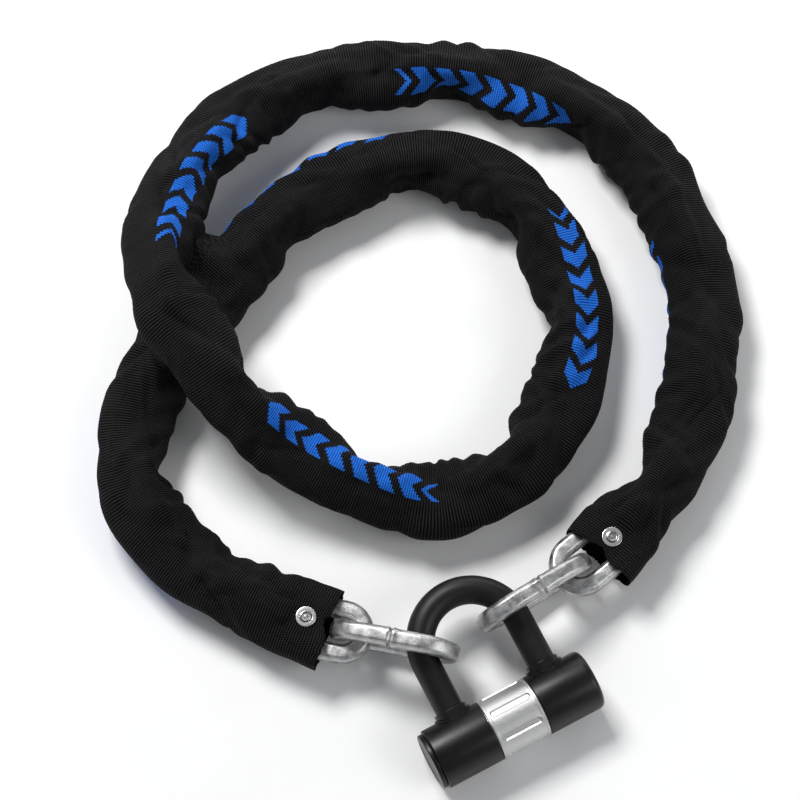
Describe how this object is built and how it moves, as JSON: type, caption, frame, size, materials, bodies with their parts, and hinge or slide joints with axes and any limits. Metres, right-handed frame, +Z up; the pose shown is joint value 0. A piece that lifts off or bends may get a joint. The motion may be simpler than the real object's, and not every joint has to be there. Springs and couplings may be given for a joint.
{
  "type": "chain lock",
  "caption": "Square-link security chain in a black woven sleeve, laid in a loose spiral, with its riveted end links joined by a compact shackle padlock with a turning dust collar.",
  "frame": {"origin": "on the surface the chain lies on, below the middle of the whole object's box", "axes": "+Z up from the surface; -Y towards the padlock, +Y across the coil; +X to the right when the padlock is in front"},
  "size_m": [0.3371, 0.4107, 0.0768],
  "materials": {
    "sleeve_cloth": "woven black nylon sleeve, ribbed round the tube",
    "zinc_plated_steel": "mottled bright zinc plate",
    "rivet_steel": "bright",
    "hardened_steel": "satin",
    "vinyl": "satin black vinyl",
    "black_plastic": "satin black",
    "satin_zinc": "satin plated",
    "brass": "machined"
  },
  "bodies": {
    "chain": {"sleeve": "sleeve_cloth", "link_01": "zinc_plated_steel", "link_02": "zinc_plated_steel", "link_03": "zinc_plated_steel", "link_04": "zinc_plated_steel", "link_05": "zinc_plated_steel", "link_06": "zinc_plated_steel", "link_07": "zinc_plated_steel", "link_08": "zinc_plated_steel", "link_09": "zinc_plated_steel", "link_10": "zinc_plated_steel", "link_11": "zinc_plated_steel", "link_12": "zinc_plated_steel", "link_13": "zinc_plated_steel", "link_14": "zinc_plated_steel", "link_15": "zinc_plated_steel", "link_16": "zinc_plated_steel", "link_17": "zinc_plated_steel", "link_18": "zinc_plated_steel", "link_19": "zinc_plated_steel", "link_20": "zinc_plated_steel", "link_21": "zinc_plated_steel", "link_22": "zinc_plated_steel", "link_23": "zinc_plated_steel", "link_24": "zinc_plated_steel", "link_25": "zinc_plated_steel", "link_26": "zinc_plated_steel", "link_27": "zinc_plated_steel", "link_28": "zinc_plated_steel", "link_29": "zinc_plated_steel", "link_30": "zinc_plated_steel", "link_31": "zinc_plated_steel", "link_32": "zinc_plated_steel", "link_33": "zinc_plated_steel", "link_34": "zinc_plated_steel", "link_35": "zinc_plated_steel", "riveted_link_right": "zinc_plated_steel", "riveted_link_left": "zinc_plated_steel", "rivet_right": "rivet_steel", "rivet_left": "rivet_steel", "washer_top_right": "rivet_steel", "washer_top_left": "rivet_steel", "washer_bottom_right": "rivet_steel", "washer_bottom_left": "rivet_steel"},
    "shackle": {"shackle": "hardened_steel", "shackle_coating": "vinyl"},
    "left_link": {"shackle_link_left": "zinc_plated_steel"},
    "right_link": {"shackle_link_right": "zinc_plated_steel"},
    "crossbar": {"crossbar_body": "hardened_steel", "cover_left": "black_plastic", "cover_right": "black_plastic", "end_cap": "black_plastic", "ferrule_left": "black_plastic", "ferrule_right": "black_plastic", "cylinder_housing": "brass"},
    "dust_collar": {"dust_collar": "satin_zinc"},
    "key_plug": {"key_plug": "brass", "cam": "hardened_steel"},
    "bolt_left": {"bolt_left": "brass"},
    "bolt_right": {"bolt_right": "brass"}
  },
  "joints": [
    {"name": "lock_lift", "type": "hinge", "parent": "chain", "child": "shackle", "pos_m": [0.0196, -0.1096, 0.0183], "axis": [-0.9608, -0.2773, 0], "range_deg": [0, 12]},
    {"name": "left_link_roll", "type": "hinge", "parent": "shackle", "child": "left_link", "pos_m": [-0.01394, -0.13265, 0.02145], "axis": [0.97, -0.2137, 0.1161], "range_deg": [-2, 10]},
    {"name": "right_link_roll", "type": "hinge", "parent": "shackle", "child": "right_link", "pos_m": [0.05615, -0.10719, 0.0211], "axis": [-0.8386, -0.5354, 0.1005], "range_deg": [-6, 4]},
    {"name": "crossbar_slide", "type": "slide", "parent": "shackle", "child": "crossbar", "axis": [0.4634, -0.8752, -0.1392], "range_m": [0, 0.025]},
    {"name": "dust_collar_turn", "type": "hinge", "parent": "crossbar", "child": "dust_collar", "pos_m": [0.0444, -0.17, 0.0157], "axis": [-0.8838, -0.4679, 0], "continuous": true},
    {"name": "key_plug_turn", "type": "hinge", "parent": "crossbar", "child": "key_plug", "pos_m": [0.0444, -0.17, 0.0157], "axis": [-0.4634, 0.8752, 0.1392], "range_deg": [0, 90]},
    {"name": "bolt_left_slide", "type": "slide", "parent": "crossbar", "child": "bolt_left", "axis": [-0.8838, -0.4679, 0], "range_m": [0, 0.0045]},
    {"name": "bolt_right_slide", "type": "slide", "parent": "crossbar", "child": "bolt_right", "axis": [0.8838, 0.4679, 0], "range_m": [0, 0.0045]}
  ],
  "couplings": [
    {"joint": "key_plug_turn", "follows": "bolt_left_slide", "rad_per_m": 349},
    {"joint": "bolt_right_slide", "follows": "bolt_left_slide", "ratio": 1}
  ]
}
